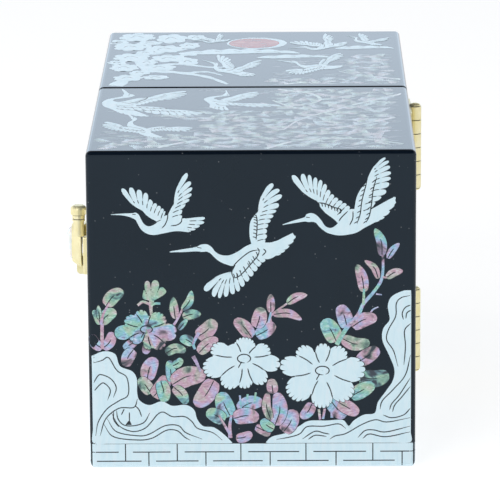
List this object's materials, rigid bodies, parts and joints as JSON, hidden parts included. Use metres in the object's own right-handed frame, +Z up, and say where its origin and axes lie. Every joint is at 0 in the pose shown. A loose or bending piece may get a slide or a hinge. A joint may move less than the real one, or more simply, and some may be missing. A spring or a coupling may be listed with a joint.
{
  "type": "double lidded jewelry box",
  "caption": "Lacquered jewellery box split at mid-length into two halves that open like a book on back hinges, with drawers in one half, a mirror and hooks in the other, and a front clasp.",
  "frame": {"origin": "centre of the base of the closed box's bounding box, hinges and clasp included", "axes": "+X along the length towards the half with the mirror, +Y from the clasp at the front to the hinges at the back, +Z up"},
  "size_m": [0.2, 0.1274, 0.11],
  "materials": {
    "black_lacquer": "polished black lacquer",
    "inner_wood": "stained and sealed wood",
    "velvet": "short-pile velvet",
    "pale_brass": "polished, pale gold",
    "mirror_silver": "silvered glass",
    "shell": "polished shell"
  },
  "bodies": {
    "left_half": {"left_case": "black_lacquer", "drawer_shelf_1": "inner_wood", "drawer_shelf_2": "inner_wood", "upper_hinge_left_leaf": "pale_brass", "lower_hinge_left_leaf": "pale_brass", "upper_hinge_pin": "pale_brass", "lower_hinge_pin": "pale_brass", "hinge_screw_left_1": "pale_brass", "hinge_screw_left_2": "pale_brass", "hinge_screw_left_3": "pale_brass", "hinge_screw_left_4": "pale_brass", "clasp_keeper": "pale_brass", "keeper_screw_1": "pale_brass", "keeper_screw_2": "pale_brass"},
    "right_half": {"right_case": "black_lacquer", "mirror_frame": "black_lacquer", "mirror_glass": "mirror_silver", "hook_rail": "black_lacquer", "necklace_hook_1": "pale_brass", "necklace_hook_2": "pale_brass", "necklace_hook_3": "pale_brass", "necklace_hook_4": "pale_brass", "necklace_hook_5": "pale_brass", "pocket_board": "black_lacquer", "pocket_pad": "velvet", "upper_hinge_right_leaf": "pale_brass", "lower_hinge_right_leaf": "pale_brass", "hinge_screw_right_1": "pale_brass", "hinge_screw_right_2": "pale_brass", "hinge_screw_right_3": "pale_brass", "hinge_screw_right_4": "pale_brass", "clasp_base": "pale_brass", "clasp_pin": "pale_brass", "clasp_washer": "pale_brass", "clasp_screw_1": "pale_brass", "clasp_screw_2": "pale_brass"},
    "lower_drawer": {"drawer_front_1": "black_lacquer", "drawer_tray_1": "inner_wood", "drawer_knob_1": "pale_brass", "drawer_pad_1": "velvet"},
    "middle_drawer": {"drawer_front_2": "black_lacquer", "drawer_tray_2": "inner_wood", "drawer_knob_2": "pale_brass", "drawer_pad_2": "velvet", "drawer_divider_long": "inner_wood", "drawer_divider_short": "inner_wood"},
    "upper_drawer": {"drawer_front_3": "black_lacquer", "drawer_tray_3": "inner_wood", "drawer_knob_3": "pale_brass", "ring_cushion": "velvet"},
    "clasp": {"clasp_flap": "pale_brass", "clasp_cabochon": "shell"}
  },
  "joints": [
    {"name": "case_hinge", "type": "hinge", "parent": "left_half", "child": "right_half", "pos_m": [0, 0.06145, 0.055], "axis": [0, 0, 1], "range_deg": [0, 180]},
    {"name": "lower_drawer_slide", "type": "slide", "parent": "left_half", "child": "lower_drawer", "axis": [1, 0, 0], "range_m": [0, 0.06]},
    {"name": "middle_drawer_slide", "type": "slide", "parent": "left_half", "child": "middle_drawer", "axis": [1, 0, 0], "range_m": [0, 0.06]},
    {"name": "upper_drawer_slide", "type": "slide", "parent": "left_half", "child": "upper_drawer", "axis": [1, 0, 0], "range_m": [0, 0.06]},
    {"name": "clasp_swing", "type": "hinge", "parent": "right_half", "child": "clasp", "pos_m": [0.0072, -0.05865, 0.05475], "axis": [0, 0, 1], "range_deg": [0, 135]}
  ]
}
